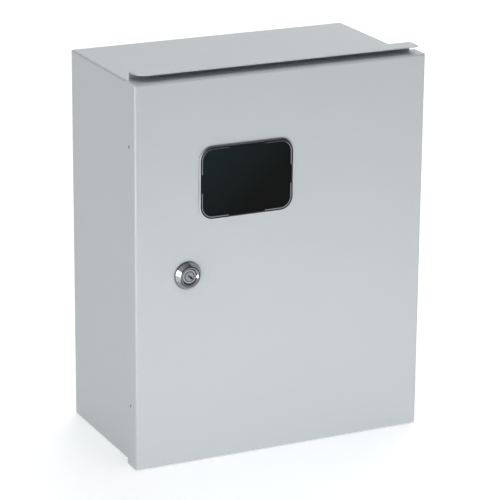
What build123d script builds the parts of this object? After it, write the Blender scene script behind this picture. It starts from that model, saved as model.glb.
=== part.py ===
from build123d import *
import math
import os

# A wall-hung sheet-steel cabinet for one electricity meter: a folded box with a rain visor,
# a tray door with a smoked window and a cam lock, and a mounting panel inside.
# Millimetres. X runs to the right seen from the front, Y to the back, Z up.
# The origin is the middle of the wall-fixing holes, on the outside of the back wall.

# folded sheet
sheet = 1.2
bend = 2.0
running_fit = 0.05
seat_fit = 0.02
thread_play = 0.03
slip_fit = 0.15
hole_fit = 0.25

# fasteners, as shares of their thread
head_width = 1.8
head_height = 0.6
nut_flats = 1.65
nut_height = 0.83
washer_width = 2.0
washer_thickness = 0.25
stud_lead = 0.12
recess_length = 0.5
recess_width = 0.13
recess_depth = 0.55
cap_round = 0.6

# body
body_width = 300.0
body_height = 384.0
body_depth = 147.0
front_flange = 15.0
rim_corner = 8.0
wall_hole = 7.0
wall_hole_side_inset = 20.0
wall_hole_end_inset = 27.0

# door
door_depth = 23.0
door_side_overhang = 5.0
door_rise = 3.6
door_floor_gap = 0.6
door_rear_gap = 1.5
door_bend = 2.6
door_seam = 0.7
gasket_width = 10.0
gasket_height = 5.0
gasket_crown = 2.4
gasket_play = 0.3
flange_hole = 3.4
flange_hole_setback = 9.3
hinge_from_end = 63.0

# rain visor
visor_rise = 11.0
visor_reach = 18.5
visor_setback = 1.0
visor_foot = 14.0
visor_left_corner = 12.0
visor_right_corner = 3.0

# window
window_width = 100.0
window_height = 73.0
window_corner = 14.0
window_offset = 38.7
window_from_top = 104.0
window_lip = 3.4
window_lip_thickness = 1.2
window_lip_round = 0.7
window_overlap = 1.8
window_fit = 0.3
window_recess = 0.8
window_thickness = 2.0
window_wall = 1.6
seal_thickness = 0.5
seal_inset = 0.4
seal_clearance = 0.1
tongue_side_length = 18.6
tongue_end_length = 38.8
tongue_slit = 0.9
tongue_barb = 1.1
tongue_shelf = 1.0
tongue_depth = 4.6

# hinges
hinge_setback = 12.0
hinge_pin = 4.0
hinge_eye = 3.6
hinge_side_play = 0.4
hinge_end_play = 0.3
body_leaf = 2.0
door_leaf = 1.5
leaf_height = 17.0
leaf_screw_height = 10.0
leaf_rim_gap = 0.4
leaf_rear_gap = 2.5
leaf_root = 2.4
leaf_corner = 2.0
pin_overrun = 5.2
hinge_screw = 3.0
hinge_screw_length = 6.0

# lock
lock_from_edge = 54.5
lock_base = 28.0
lock_nose = 20.4
lock_nose_round = 0.9
lock_proud = 6.5
lock_edge = 1.0
lock_undercut = 0.4
lock_mouth = 1.2
lock_barrel = 19.4
lock_lead_in = 0.8
lock_nut_land = 2.3
lock_nut_height = 4.5
lock_washer_thickness = 0.8
lock_washer_land = 3.0
lock_washer_fit = 0.2
lock_washer_teeth = 12
lock_washer_notch = 0.9
lock_flats = 17.0
lock_head = 14.6
lock_core = 12.0
lock_face_sink = 2.0
lock_head_length = 5.4
lock_face_round = 0.6
lock_groove = 10.6
lock_groove_width = 0.7
lock_groove_depth = 0.4
key_slot_length = 8.5
key_slot_width = 1.8
key_slot_depth = 5.0
key_slot_flare = 0.3
key_slot_turn = 42.0
cam_thickness = 2.0
cam_square = 8.0
cam_hub = 8.0
cam_tip = 5.0
cam_play = 1.6
cam_wall_gap = 6.0
cam_screw = 5.0
cam_screw_length = 10.0
cam_screw_head = 12.0

# mounting panel
panel_side_gap = 25.0
panel_end_gap = 31.0
panel_thickness = 1.5
panel_fold = 10.0
panel_standoff = 18.0
panel_stud = 6.0
panel_stud_overrun = 9.0
panel_spacer = 11.0
panel_stud_side_inset = 20.0
panel_stud_end_inset = 20.0
meter_slot_length = 28.0
meter_slot_width = 6.5
meter_slot_spread = 51.5
meter_slot_drop = 49.0
meter_hook_rise = 60.0
meter_hook_length = 30.0

# rail and terminal bars
rail_length = 180.0
rail_width = 35.0
rail_channel = 27.0
rail_height = 7.5
rail_sheet = 1.0
rail_from_bottom = 130.0
rail_slot_length = 12.0
rail_slot_width = 5.4
rail_screw = 5.0
rail_screw_length = 9.0
rail_screw_spread = 60.0
bar_length = 92.0
bar_width = 9.0
bar_thickness = 7.0
bar_from_bottom = 76.0
bar_centre = 62.0
bar_end_inset = 7.0
bar_screw = 4.0
bar_screw_overrun = 5.0
terminal_count = 6
terminal_pitch = 11.0
terminal_screw = 4.0
terminal_screw_reach = 2.2
terminal_head = 5.6
terminal_head_height = 2.0
terminal_slot = 0.9
wire_hole = 5.0
holder_size = 13.0
holder_height = 16.0
holder_foot = 3.0
holder_corner = 1.5
standoff_size = 10.0
standoff_height = 8.0

# cable entry in the bottom
gland_length = 190.0
gland_width = 70.0
gland_corner = 6.0
gland_margin = 13.0
gland_gasket_thickness = 2.0
gland_plate_thickness = 1.5
gland_stud = 5.0
gland_stud_length = 11.0
grommet_count = 3
grommet_pitch = 60.0
grommet_hole = 28.0
grommet_flange = 4.0
grommet_flange_thickness = 1.8
grommet_taper = 0.5
grommet_wall = 1.4
grommet_lip = 2.0
grommet_steps = 3
grommet_step_height = 2.6
grommet_tip = 7.0

# earth studs
earth_stud = 6.0
earth_jam_nut = 2.0
body_earth_length = 20.0
door_earth_length = 16.0
earth_from_bottom = 45.0
body_earth_setback = 40.0
door_earth_from_edge = 48.0

# levels and faces worked out from the sizes above
half_width = body_width / 2
top = body_height / 2
bottom = -body_height / 2
front = -body_depth
back_inside = -sheet
door_half = half_width + door_side_overhang
door_top = top + door_rise
door_bottom = bottom + door_floor_gap
door_centre = (door_top + door_bottom) / 2
door_face = front - door_depth
door_inside = door_face + sheet
door_rear = front - door_rear_gap
rim_face = half_width - front_flange
opening_width = 2 * (rim_face - sheet)
opening_height = body_height - 2 * (front_flange + sheet)
rim_height = door_depth - sheet - gasket_height - gasket_play
window_x = -window_offset
window_z = door_top - window_from_top
lock_x = -(door_half - lock_from_edge)
lock_z = door_centre
hinge_x = door_half - sheet - hinge_eye - hinge_side_play
hinge_y = front - hinge_setback
hinge_levels = (door_bottom + hinge_from_end, door_top - hinge_from_end)
panel_width = body_width - 2 * panel_side_gap
panel_height = body_height - 2 * panel_end_gap
panel_rear = back_inside - panel_standoff
panel_face = panel_rear - panel_thickness
gland_y = -body_depth / 2


def block(x0, x1, y0, y1, z0, z1):
    # a box between two opposite corners
    return Pos((x0 + x1) / 2, (y0 + y1) / 2, (z0 + z1) / 2) * Box(x1 - x0, y1 - y0, z1 - z0)


def slab(outline, y0, y1):
    # an outline drawn in X and Z, made solid from y0 back to y1
    plane = Plane(origin=(0, y0, 0), x_dir=(1, 0, 0), z_dir=(0, -1, 0))
    return extrude(plane * outline, amount=y0 - y1)


def plate(outline, z0, z1):
    # an outline drawn in X and Y, made solid from z0 up to z1
    return extrude(Pos(0, 0, z0) * outline, amount=z1 - z0)


def ring(width, height, corner, thickness):
    # the outline of a frame with rounded corners, measured on its outside
    inner = RectangleRounded(width - 2 * thickness, height - 2 * thickness, corner - thickness)
    return RectangleRounded(width, height, corner) - inner


def along(x, y, z, direction):
    # the place of a turned piece whose own axis is +Z, pointed along a direction
    return Plane(origin=(x, y, z), z_dir=direction).location


def rod(radius, z0, z1):
    return Pos(0, 0, z0) * Cylinder(radius, z1 - z0, align=(Align.CENTER, Align.CENTER, Align.MIN))


def tube(bore, outer, length):
    return rod(outer / 2, 0, length) - rod(bore / 2, -1, length + 1)


def washer(thread):
    return tube(thread + 2 * slip_fit, washer_width * thread, washer_thickness * thread)


def hex_nut(thread, flats, height):
    # a hexagon with its two rims turned down to a cone
    nut = extrude(RegularPolygon(flats / 2, 6, major_radius=False), amount=height)
    corner = flats / math.sqrt(3)
    rim = corner - flats / 2
    turned = rod(corner, 0, height)
    nut &= chamfer([turned.edges().sort_by(Axis.Z)[0], turned.edges().sort_by(Axis.Z)[-1]], rim / 2, rim)
    return nut - rod(thread / 2 + thread_play, -1, height + 1)


def standard_nut(thread):
    return hex_nut(thread, nut_flats * thread, nut_height * thread)


def weld_stud(thread, length):
    stud = rod(thread / 2, 0, length)
    return chamfer(stud.edges().sort_by(Axis.Z)[-1], thread * stud_lead)


def pan_screw(thread, length, head):
    # a rounded head with a cross recess stands above the origin, and the shank goes down from it
    rise = head_height * thread
    cap = rod(head / 2, 0, rise)
    cap = fillet(cap.edges().sort_by(Axis.Z)[-1], rise * cap_round)
    recess = Pos(0, 0, rise) * Box(head * recess_length, head * recess_width, 2 * rise * recess_depth)
    return cap - recess - Rot(0, 0, 90) * recess + rod(thread / 2, -length, 0)


def corners(x, z):
    return [(-x, -z), (x, -z), (-x, z), (x, z)]


def make_body_shell():
    # the box: rear, side, top and bottom walls, and the front edges folded inwards
    shell = block(-half_width, half_width, front, 0, bottom, top)
    shell = fillet(shell.edges(), bend)
    hollow = block(-half_width + sheet, half_width - sheet, front + sheet, back_inside,
                   bottom + sheet, top - sheet)
    shell -= fillet(hollow.edges(), bend - sheet)
    # the rim round the opening, folded forwards into the door
    rim = RectangleRounded(opening_width + 2 * sheet, opening_height + 2 * sheet, rim_corner + sheet)
    shell += slab(rim, front - rim_height, front + sheet)
    opening = RectangleRounded(opening_width, opening_height, rim_corner)
    shell -= slab(opening, front - rim_height - 1, front + sheet + 1)
    inner_edges = [edge for edge in shell.edges()
                   if abs(edge.center().Y - front - sheet) < 0.01
                   and abs(edge.center().X) < opening_width / 2 + 0.01
                   and abs(edge.center().Z) < opening_height / 2 + 0.01]
    shell = fillet(inner_edges, sheet * 0.9)
    # wall-fixing holes, and the cut-out for the cable entry
    for x, z in corners(half_width - wall_hole_side_inset, top - wall_hole_end_inset):
        shell -= Pos(x, 0, z) * Rot(90, 0, 0) * Cylinder(wall_hole / 2, 4 * sheet)
    cut_out = Pos(0, gland_y) * RectangleRounded(gland_length, gland_width, gland_corner)
    return shell - plate(cut_out, bottom - 1, bottom + sheet + 1)


def make_rain_visor():
    # a strip folded twice: a foot on the top wall, an upstand, and a lip over the door
    wall = front + visor_setback + sheet / 2
    half_sheet = sheet / 2
    fold = FilletPolyline((wall + visor_foot, top + half_sheet),
                          (wall, top + half_sheet),
                          (wall, top + visor_rise - half_sheet),
                          (front - visor_reach, top + visor_rise - half_sheet),
                          radius=bend - half_sheet)
    section = trace(fold, line_width=sheet)
    strip = extrude(Plane.YZ * section, amount=half_width, both=True)
    foot_corners = [edge for edge in strip.edges().filter_by(Axis.Z)
                    if edge.center().Y > wall + visor_foot - 0.01]
    strip = fillet(foot_corners, bend)
    for side, radius in ((-1, visor_left_corner), (1, visor_right_corner)):
        lip_corner = [edge for edge in strip.edges().filter_by(Axis.Z)
                      if edge.center().Y < front - visor_reach + 0.01 and edge.center().X * side > 0]
        strip = fillet(lip_corner, radius)
    return strip


def make_door_panel():
    # a tray: one face and four flanges, folded with a soft bend and welded and ground at the corners
    tray = block(-door_half, door_half, door_face, door_rear, door_bottom, door_top)
    tray = fillet(tray.faces().sort_by(Axis.Y)[0].edges(), door_bend)
    tray = fillet(tray.edges().filter_by(Axis.Y), door_seam)
    hollow = block(-door_half + sheet, door_half - sheet, door_inside, door_rear + 1,
                   door_bottom + sheet, door_top - sheet)
    tray -= fillet(hollow.faces().sort_by(Axis.Y)[0].edges(), door_bend - sheet)
    window_hole = RectangleRounded(window_width - 2 * window_overlap, window_height - 2 * window_overlap,
                                   window_corner - window_overlap)
    tray -= slab(Pos(window_x, window_z) * window_hole, door_face - 1, door_inside + 1)
    lock_hole = Circle(lock_barrel / 2 + window_fit) & Rectangle(lock_flats + 2 * window_fit, lock_barrel * 2)
    tray -= slab(Pos(lock_x, lock_z) * lock_hole, door_face - 1, door_inside + 1)
    # two holes in each side flange: the right pair holds the hinge leaves, the left pair is spare
    for level in hinge_levels:
        drill = Rot(0, 90, 0) * Cylinder(flange_hole / 2, 2 * door_half + 2)
        tray -= Pos(0, front - flange_hole_setback, level) * drill
    return tray


def make_door_gasket():
    # a poured bead on the inside of the door, in line with the rim of the body
    middle = rim_corner + sheet / 2
    outline = ring(opening_width + sheet + gasket_width, opening_height + sheet + gasket_width,
                   middle + gasket_width / 2, gasket_width)
    bead = slab(outline, door_inside, door_inside + gasket_height)
    crown = [edge for edge in bead.edges() if edge.center().Y > door_inside + gasket_height - 0.01]
    return fillet(crown, gasket_crown)


def make_window_pane():
    # a moulded pane: a lip in front of the sheet, a wall through it and tongues behind it
    lip_rear = door_face - seal_thickness
    lip_face = lip_rear - window_lip_thickness
    pane_face = lip_face + window_recess
    pane_rear = pane_face + window_thickness
    plug_width = window_width - 2 * (window_overlap + window_fit)
    plug_height = window_height - 2 * (window_overlap + window_fit)
    plug_corner = window_corner - window_overlap - window_fit
    wall_end = door_inside + tongue_depth
    pane = slab(ring(window_width, window_height, window_corner, window_lip), lip_face, lip_rear)
    lip_front = pane.faces().sort_by(Axis.Y)[0]
    pane = fillet(lip_front.outer_wire().edges(), window_lip_round)
    lip_front = pane.faces().sort_by(Axis.Y)[0]
    pane = chamfer(lip_front.inner_wires()[0].edges(), window_lip_round / 2)
    pane += slab(RectangleRounded(plug_width, plug_height, plug_corner), pane_face, pane_rear)
    pane += slab(ring(plug_width, plug_height, plug_corner, window_wall), lip_rear - 0.1, wall_end)
    # each tongue is freed by two slits and carries a barb that snaps behind the sheet;
    # in front of the barb the lip is open, where the mould's core draws out
    barb_start = door_inside + seat_fit
    for turn in (0, 90, 180, 270):
        upright = turn in (0, 180)
        reach = plug_height / 2 if upright else plug_width / 2
        length = tongue_end_length if upright else tongue_side_length
        profile = Polyline((barb_start, reach - window_wall / 2), (barb_start, reach + tongue_barb),
                           (barb_start + tongue_shelf, reach + tongue_barb), (wall_end, reach),
                           (wall_end, reach - window_wall / 2), close=True)
        barb = extrude(Plane.YZ * make_face(profile), amount=length / 2 - tongue_slit, both=True)
        slits = Part()
        for side in (-1, 1):
            centre = side * (length / 2 - tongue_slit / 2)
            slits += block(centre - tongue_slit / 2, centre + tongue_slit / 2, pane_rear, wall_end + 1,
                           reach - window_wall - 1, reach + 1)
        lip_inner = reach + window_overlap + window_fit - window_lip - window_lip_round
        half = length / 2
        shallow = block(-half, half, lip_face - 1, pane_face, lip_inner, reach + tongue_barb)
        through = block(-half, half, lip_face - 1, lip_rear, reach, reach + tongue_barb)
        pane = pane + Rot(0, turn, 0) * barb - Rot(0, turn, 0) * slits
        pane -= Rot(0, turn, 0) * (shallow + through)
    return Pos(window_x, 0, window_z) * pane


def make_window_seal():
    width = window_width - 2 * seal_inset
    height = window_height - 2 * seal_inset
    band = window_overlap + window_fit - seal_inset - seal_clearance
    outline = ring(width, height, window_corner - seal_inset, band)
    return slab(Pos(window_x, window_z) * outline, door_face - seal_thickness, door_face)


def hinge_eye_plate(root, z0, z1, hole):
    # a flat ear: a rounded eye about the hinge pin, drawn out to the leaf it grows from
    eye = Pos(hinge_x, hinge_y) * Circle(hinge_eye)
    ear = make_hull(eye.edges() + root.edges())
    return plate(ear, z0, z1) - Pos(hinge_x, hinge_y, 0) * rod(hole / 2, z0 - 1, z1 + 1)


def eye_level(level):
    # the top of the body's ear, below the screw that holds the door leaf
    return level - leaf_screw_height - hinge_end_play


def make_hinge_body_leaves():
    leaves = []
    wing_front = front - rim_height + leaf_rim_gap
    for level in hinge_levels:
        ear_top = eye_level(level)
        wing = block(rim_face, rim_face + body_leaf, wing_front, front - bend, ear_top - leaf_height, ear_top)
        wing = fillet(wing.edges().filter_by(Axis.X).sort_by(Axis.Z)[:2], leaf_corner)
        root = Pos(rim_face + body_leaf / 2, wing_front + leaf_root / 2) * Rectangle(body_leaf, leaf_root)
        leaves.append(wing + hinge_eye_plate(root, ear_top - body_leaf, ear_top, hinge_pin + 2 * seat_fit))
    return Compound(children=leaves)


def make_hinge_door_leaves():
    leaves = []
    wing_face = door_half - sheet
    wing_front = door_face + door_bend
    wing_rear = door_rear - leaf_rear_gap
    for level in hinge_levels:
        ear_bottom = eye_level(level) + hinge_end_play
        wing = block(wing_face - door_leaf, wing_face, wing_front, wing_rear,
                     ear_bottom, ear_bottom + leaf_height)
        wing = fillet(wing.edges().filter_by(Axis.X).sort_by(Axis.Z)[-2:], leaf_corner)
        root = Rectangle(door_leaf, wing_rear - wing_front - 2 * leaf_root)
        root = Pos(wing_face - door_leaf / 2, (wing_front + wing_rear) / 2) * root
        leaf = wing + hinge_eye_plate(root, ear_bottom, ear_bottom + door_leaf, hinge_pin + 2 * running_fit)
        screw_hole = Rot(0, 90, 0) * Cylinder(hinge_screw / 2 + thread_play, 6)
        leaves.append(leaf - Pos(wing_face, front - flange_hole_setback, level) * screw_hole)
    return Compound(children=leaves)


def make_hinge_pins():
    pins = []
    for level in hinge_levels:
        ear_top = eye_level(level)
        pin_top = ear_top + hinge_end_play + door_leaf + pin_overrun
        pin = rod(hinge_pin / 2, ear_top - body_leaf, pin_top)
        pin = chamfer(pin.edges().sort_by(Axis.Z)[-1], hinge_pin * 0.15)
        pins.append(Pos(hinge_x, hinge_y, 0) * pin)
    return Compound(children=pins)


def make_hinge_screws():
    screws = []
    for level in hinge_levels:
        place = along(door_half, front - flange_hole_setback, level, (1, 0, 0))
        screws.append(place * pan_screw(hinge_screw, hinge_screw_length, head_width * hinge_screw))
    return Compound(children=screws)


# the lock is turned about an axis that points out of the door, with its origin on the door's face
lock_place = Plane(origin=(lock_x, door_face, lock_z), x_dir=(1, 0, 0), z_dir=(0, -1, 0)).location
cam_front = front + sheet + cam_play
core_end = door_face - cam_front
barrel_end = core_end + 0.2
head_seat = lock_proud - lock_face_sink - lock_head_length


def make_lock_housing():
    half_base = lock_base / 2
    half_nose = lock_nose / 2
    bore = lock_core / 2 + running_fit
    counterbore = lock_head / 2 + running_fit
    barrel = lock_barrel / 2
    # a foot ring stands in from the edge, and the cone rises to a rounded nose about the mouth
    profile = Polyline((half_base - lock_undercut, 0), (half_base - lock_undercut, lock_undercut),
                       (half_base, lock_undercut), (half_base, lock_edge), (half_nose, lock_proud),
                       (counterbore + lock_mouth, lock_proud), (counterbore, lock_proud - lock_mouth),
                       (counterbore, head_seat), (bore, head_seat), (bore, barrel_end),
                       (barrel - lock_lead_in, barrel_end), (barrel, barrel_end + lock_lead_in),
                       (barrel, 0), close=True)
    section = make_face(profile)
    rounded = [vertex for vertex in section.vertices() if vertex.Y > lock_proud - 0.01]
    section = fillet(rounded, lock_nose_round)
    housing = revolve(Plane.XZ * section, Axis.Z)
    # two flats stop the barrel from turning in the door
    for side in (-1, 1):
        flat = block(lock_flats / 2, barrel + 1, -barrel - 1, barrel + 1, barrel_end - 1, 0)
        housing -= flat if side > 0 else mirror(flat, about=Plane.YZ)
    return lock_place * housing


def make_lock_cylinder():
    head = rod(lock_head / 2, head_seat + seat_fit, lock_proud - lock_face_sink)
    head = fillet(head.edges().sort_by(Axis.Z)[-1], lock_face_round)
    core = head + rod(lock_core / 2, core_end, head_seat + seat_fit)
    tail_end = core_end - cam_thickness + seat_fit
    core += block(-cam_square / 2, cam_square / 2, -cam_square / 2, cam_square / 2, tail_end, core_end)
    core -= rod(cam_screw / 2 + thread_play, tail_end - 1, tail_end + cam_screw_length + 1)
    # a turned groove round the keyway, whose edge is flared for the key
    face = lock_proud - lock_face_sink
    groove = tube(lock_groove - 2 * lock_groove_width, lock_groove, 1 + lock_groove_depth)
    core -= Pos(0, 0, face - lock_groove_depth) * groove
    keyway = plate(SlotOverall(key_slot_length, key_slot_width), face - key_slot_depth, face)
    mouth = plate(SlotOverall(key_slot_length + 2 * key_slot_flare, key_slot_width + 2 * key_slot_flare),
                  face - key_slot_flare, face + 1)
    return lock_place * (core - Rot(0, 0, -key_slot_turn) * (keyway + mouth))


def make_lock_washer():
    # a toothed washer under the nut
    inner = lock_barrel / 2 + lock_washer_fit
    outer = inner + lock_washer_land
    outline = Circle(outer) - Circle(inner)
    for step in range(lock_washer_teeth):
        outline -= Rot(0, 0, step * 360 / lock_washer_teeth) * (Pos(outer, 0) * Circle(lock_washer_notch))
    return lock_place * plate(outline, -sheet - lock_washer_thickness, -sheet)


def make_lock_nut():
    nut = hex_nut(lock_barrel, lock_barrel + 2 * lock_nut_land, lock_nut_height)
    return lock_place * (Pos(0, 0, -sheet - lock_washer_thickness - lock_nut_height) * nut)


def make_lock_cam():
    # at rest the cam stands up, clear of the rim, so that the door can open
    reach = half_width - sheet - abs(lock_x) - cam_wall_gap
    hub = Circle(cam_hub)
    tip = Pos(0, reach - cam_tip) * Circle(cam_tip)
    blade = make_hull(hub.edges() + tip.edges())
    blade -= Rectangle(cam_square + 2 * running_fit, cam_square + 2 * running_fit)
    return slab(Pos(lock_x, lock_z) * blade, cam_front, cam_front + cam_thickness)


def make_cam_screw():
    place = along(lock_x, cam_front + cam_thickness, lock_z, (0, 1, 0))
    return place * pan_screw(cam_screw, cam_screw_length, cam_screw_head)


def panel_stud_places():
    return corners(panel_width / 2 - panel_stud_side_inset, panel_height / 2 - panel_stud_end_inset)


def bar_places():
    # x of the neutral bar on the left and of the earth bar on the right, and their common level
    return (-bar_centre, bar_centre), bottom + bar_from_bottom


def bar_screw_offsets():
    return (-(bar_length / 2 - bar_end_inset), bar_length / 2 - bar_end_inset)


def make_mounting_panel():
    half_panel = panel_width / 2
    panel = block(-half_panel, half_panel, panel_face, panel_rear + panel_fold,
                  -panel_height / 2, panel_height / 2)
    long_edges = [edge for edge in panel.edges().filter_by(Axis.Z) if edge.center().Y < panel_face + 0.01]
    panel = fillet(long_edges, bend)
    hollow = block(-half_panel + panel_thickness, half_panel - panel_thickness, panel_rear,
                   panel_rear + panel_fold + 1, -panel_height / 2 - 1, panel_height / 2 + 1)
    panel -= hollow
    outline = Sketch()
    for x, z in panel_stud_places():
        outline += Pos(x, z) * Circle(panel_stud / 2 + hole_fit)
    # two level slots and an upright one take the three screws of a meter, in line with the window
    meter_low = window_z - meter_slot_drop
    meter_slot = SlotOverall(meter_slot_length, meter_slot_width)
    for side in (-1, 1):
        outline += Pos(window_x + side * meter_slot_spread, meter_low) * meter_slot
    hook = SlotOverall(meter_hook_length, meter_slot_width, rotation=90)
    outline += Pos(window_x, window_z + meter_hook_rise - meter_slot_drop) * hook
    rail_level = bottom + rail_from_bottom
    for side in (-1, 1):
        outline += Pos(side * rail_screw_spread, rail_level) * Circle(rail_screw / 2 + hole_fit)
    centres, level = bar_places()
    for centre in centres:
        for offset in bar_screw_offsets():
            outline += Pos(centre + offset, level) * Circle(bar_screw / 2 + hole_fit)
    return panel - slab(outline, panel_face - 1, panel_rear + 1)


def at_panel_studs(piece, y):
    return Compound(children=[along(x, y, z, (0, -1, 0)) * piece for x, z in panel_stud_places()])


def make_panel_studs():
    length = panel_standoff + panel_thickness + panel_stud_overrun
    return at_panel_studs(weld_stud(panel_stud, length), back_inside)


def make_panel_spacers():
    return at_panel_studs(tube(panel_stud + 2 * slip_fit, panel_spacer, panel_standoff), back_inside)


def make_panel_washers():
    return at_panel_studs(washer(panel_stud), panel_face)


def make_panel_nuts():
    return at_panel_studs(standard_nut(panel_stud), panel_face - washer_thickness * panel_stud)


def make_din_rail():
    # a top-hat rail: base against the panel, two webs and two outward flanges
    half_rail = rail_width / 2
    half_channel = rail_channel / 2
    t = rail_sheet
    crown = rail_height
    section = make_face(Polyline((0, -half_channel), (0, half_channel), (crown - t, half_channel),
                                 (crown - t, half_rail), (crown, half_rail), (crown, half_channel - t),
                                 (t, half_channel - t), (t, -half_channel + t), (crown, -half_channel + t),
                                 (crown, -half_rail), (crown - t, -half_rail), (crown - t, -half_channel),
                                 close=True))
    section = Plane(origin=(0, 0, 0), x_dir=(0, -1, 0), z_dir=(1, 0, 0)) * section
    rail = extrude(section, amount=rail_length / 2, both=True)
    slots = Sketch()
    for step in (-3, -2, -1, 1, 2, 3):
        slots += Pos(step * rail_screw_spread / 3, 0) * SlotOverall(rail_slot_length, rail_slot_width)
    rail -= slab(slots, -rail_height - 1, 1)
    return Pos(0, panel_face, bottom + rail_from_bottom) * rail


def make_rail_screws():
    screws = []
    seat = panel_face - rail_sheet
    for side in (-1, 1):
        place = along(side * rail_screw_spread, seat, bottom + rail_from_bottom, (0, -1, 0))
        screws.append(place * pan_screw(rail_screw, rail_screw_length, head_width * rail_screw))
    return Compound(children=screws)


def make_rail_nuts():
    nuts = []
    for side in (-1, 1):
        place = along(side * rail_screw_spread, panel_rear, bottom + rail_from_bottom, (0, 1, 0))
        nuts.append(place * standard_nut(rail_screw))
    return Compound(children=nuts)


def terminal_offsets():
    return [(step - (terminal_count - 1) / 2) * terminal_pitch for step in range(terminal_count)]


def make_terminal_bar(centre, stand):
    # a brass bar drilled upwards for the wires and from the front for their screws
    level = bottom + bar_from_bottom
    rear = panel_face - stand
    face = rear - bar_thickness
    bar = block(centre - bar_length / 2, centre + bar_length / 2, face, rear,
                level - bar_width / 2, level + bar_width / 2)
    for offset in terminal_offsets():
        bar -= Pos(centre + offset, (face + rear) / 2, level) * Cylinder(wire_hole / 2, bar_width + 2)
        tapped = rod(terminal_screw / 2 + thread_play, 0, bar_thickness)
        bar -= along(centre + offset, (face + rear) / 2, level, (0, -1, 0)) * tapped
    for offset in bar_screw_offsets():
        drilled = rod(bar_screw / 2 + hole_fit, 0, bar_thickness + 2)
        bar -= along(centre + offset, rear + 1, level, (0, -1, 0)) * drilled
    return bar


def make_neutral_holders():
    # insulating blocks that keep the neutral bar off the panel
    centre = bar_places()[0][0]
    level = bar_places()[1]
    blocks = []
    for offset in bar_screw_offsets():
        x = centre + offset
        half = holder_size / 2
        foot = block(x - half, x + half, panel_face - holder_foot, panel_face,
                     level - half - holder_foot, level + half + holder_foot)
        foot = fillet(foot.edges().filter_by(Axis.Y), holder_corner)
        pillar = block(x - half, x + half, panel_face - holder_height, panel_face, level - half, level + half)
        pillar = fillet(pillar.edges().filter_by(Axis.Y), holder_corner)
        drilled = rod(bar_screw / 2 + hole_fit, 0, holder_height + 2)
        blocks.append(foot + pillar - along(x, panel_face + 1, level, (0, -1, 0)) * drilled)
    return Compound(children=blocks)


def make_earth_standoffs():
    centre = bar_places()[0][1]
    level = bar_places()[1]
    standoff = tube(bar_screw + 2 * hole_fit, standoff_size, standoff_height)
    places = [along(centre + offset, panel_face, level, (0, -1, 0)) for offset in bar_screw_offsets()]
    return Compound(children=[place * standoff for place in places])


def make_bar_screws():
    centres, level = bar_places()
    screws = []
    for centre, stand in zip(centres, (holder_height, standoff_height)):
        for offset in bar_screw_offsets():
            place = along(centre + offset, panel_face - stand - bar_thickness, level, (0, -1, 0))
            length = bar_thickness + stand + panel_thickness + bar_screw_overrun
            screws.append(place * pan_screw(bar_screw, length, head_width * bar_screw))
    return Compound(children=screws)


def make_bar_nuts():
    centres, level = bar_places()
    nuts = []
    for centre in centres:
        for offset in bar_screw_offsets():
            nuts.append(along(centre + offset, panel_rear, level, (0, 1, 0)) * standard_nut(bar_screw))
    return Compound(children=nuts)


def make_terminal_screws():
    centres, level = bar_places()
    slot = Box(terminal_head + 1, terminal_slot, terminal_head_height)
    head = rod(terminal_head / 2, 0, terminal_head_height) - Pos(0, 0, terminal_head_height) * slot
    screw = head + rod(terminal_screw / 2, -terminal_screw_reach, 0)
    screws = []
    for centre, stand in zip(centres, (holder_height, standoff_height)):
        face = panel_face - stand - bar_thickness
        for offset in terminal_offsets():
            screws.append(along(centre + offset, face, level, (0, -1, 0)) * screw)
    return Compound(children=screws)


def gland_stud_places():
    inset = gland_margin / 2
    return corners(gland_length / 2 + inset, gland_width / 2 + inset)


def gland_outline():
    outline = RectangleRounded(gland_length + 2 * gland_margin, gland_width + 2 * gland_margin, gland_corner)
    for x, y in gland_stud_places():
        outline -= Pos(x, y) * Circle(gland_stud / 2 + hole_fit)
    return Pos(0, gland_y) * outline


def grommet_places():
    return [(step - (grommet_count - 1) / 2) * grommet_pitch for step in range(grommet_count)]


gasket_level = bottom + sheet
gland_level = gasket_level + gland_gasket_thickness
gland_top = gland_level + gland_plate_thickness


def make_gland_gasket():
    hole = Pos(0, gland_y) * RectangleRounded(gland_length, gland_width, gland_corner)
    return plate(gland_outline() - hole, gasket_level, gland_level)


def make_gland_plate():
    outline = gland_outline()
    for x in grommet_places():
        outline -= Pos(x, gland_y) * Circle(grommet_hole / 2)
    return plate(outline, gland_level, gland_top)


def at_gland_studs(piece, z):
    return Compound(children=[Pos(x, gland_y + y, z) * piece for x, y in gland_stud_places()])


def make_gland_studs():
    return at_gland_studs(weld_stud(gland_stud, gland_stud_length), gasket_level)


def make_gland_washers():
    return at_gland_studs(washer(gland_stud), gland_top)


def make_gland_nuts():
    return at_gland_studs(standard_nut(gland_stud), gland_top + washer_thickness * gland_stud)


def make_cable_grommets():
    # blind rubber grommets: a flange below the plate, a lip above it, and a stepped cone whose rings
    # are cut open one by one to fit the cable
    hole = grommet_hole / 2
    neck = hole - running_fit
    lip_top = gland_plate_thickness + grommet_lip
    run = (neck - grommet_wall - grommet_tip) / grommet_steps
    stairs = []
    for step in range(grommet_steps):
        level = lip_top + step * grommet_step_height
        stairs += [(neck - step * run, level), (neck - (step + 1) * run, level)]
    crown = lip_top + grommet_steps * grommet_step_height
    stairs += [(grommet_tip + grommet_wall, crown), (0, crown)]
    inside = [(max(radius - grommet_wall, 0), level - grommet_wall) for radius, level in stairs]
    below = -grommet_flange_thickness
    flange = hole + grommet_flange
    lip = hole + grommet_lip
    profile = Polyline((flange, 0), (flange - grommet_taper, below), (neck - grommet_wall, below), *inside,
                       *reversed(stairs), (lip, lip_top - grommet_taper), (lip, gland_plate_thickness),
                       (neck, gland_plate_thickness), (neck, 0), close=True)
    grommet = revolve(Plane.XZ * make_face(profile), Axis.Z)
    return Compound(children=[Pos(x, gland_y, gland_level) * grommet for x in grommet_places()])


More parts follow.
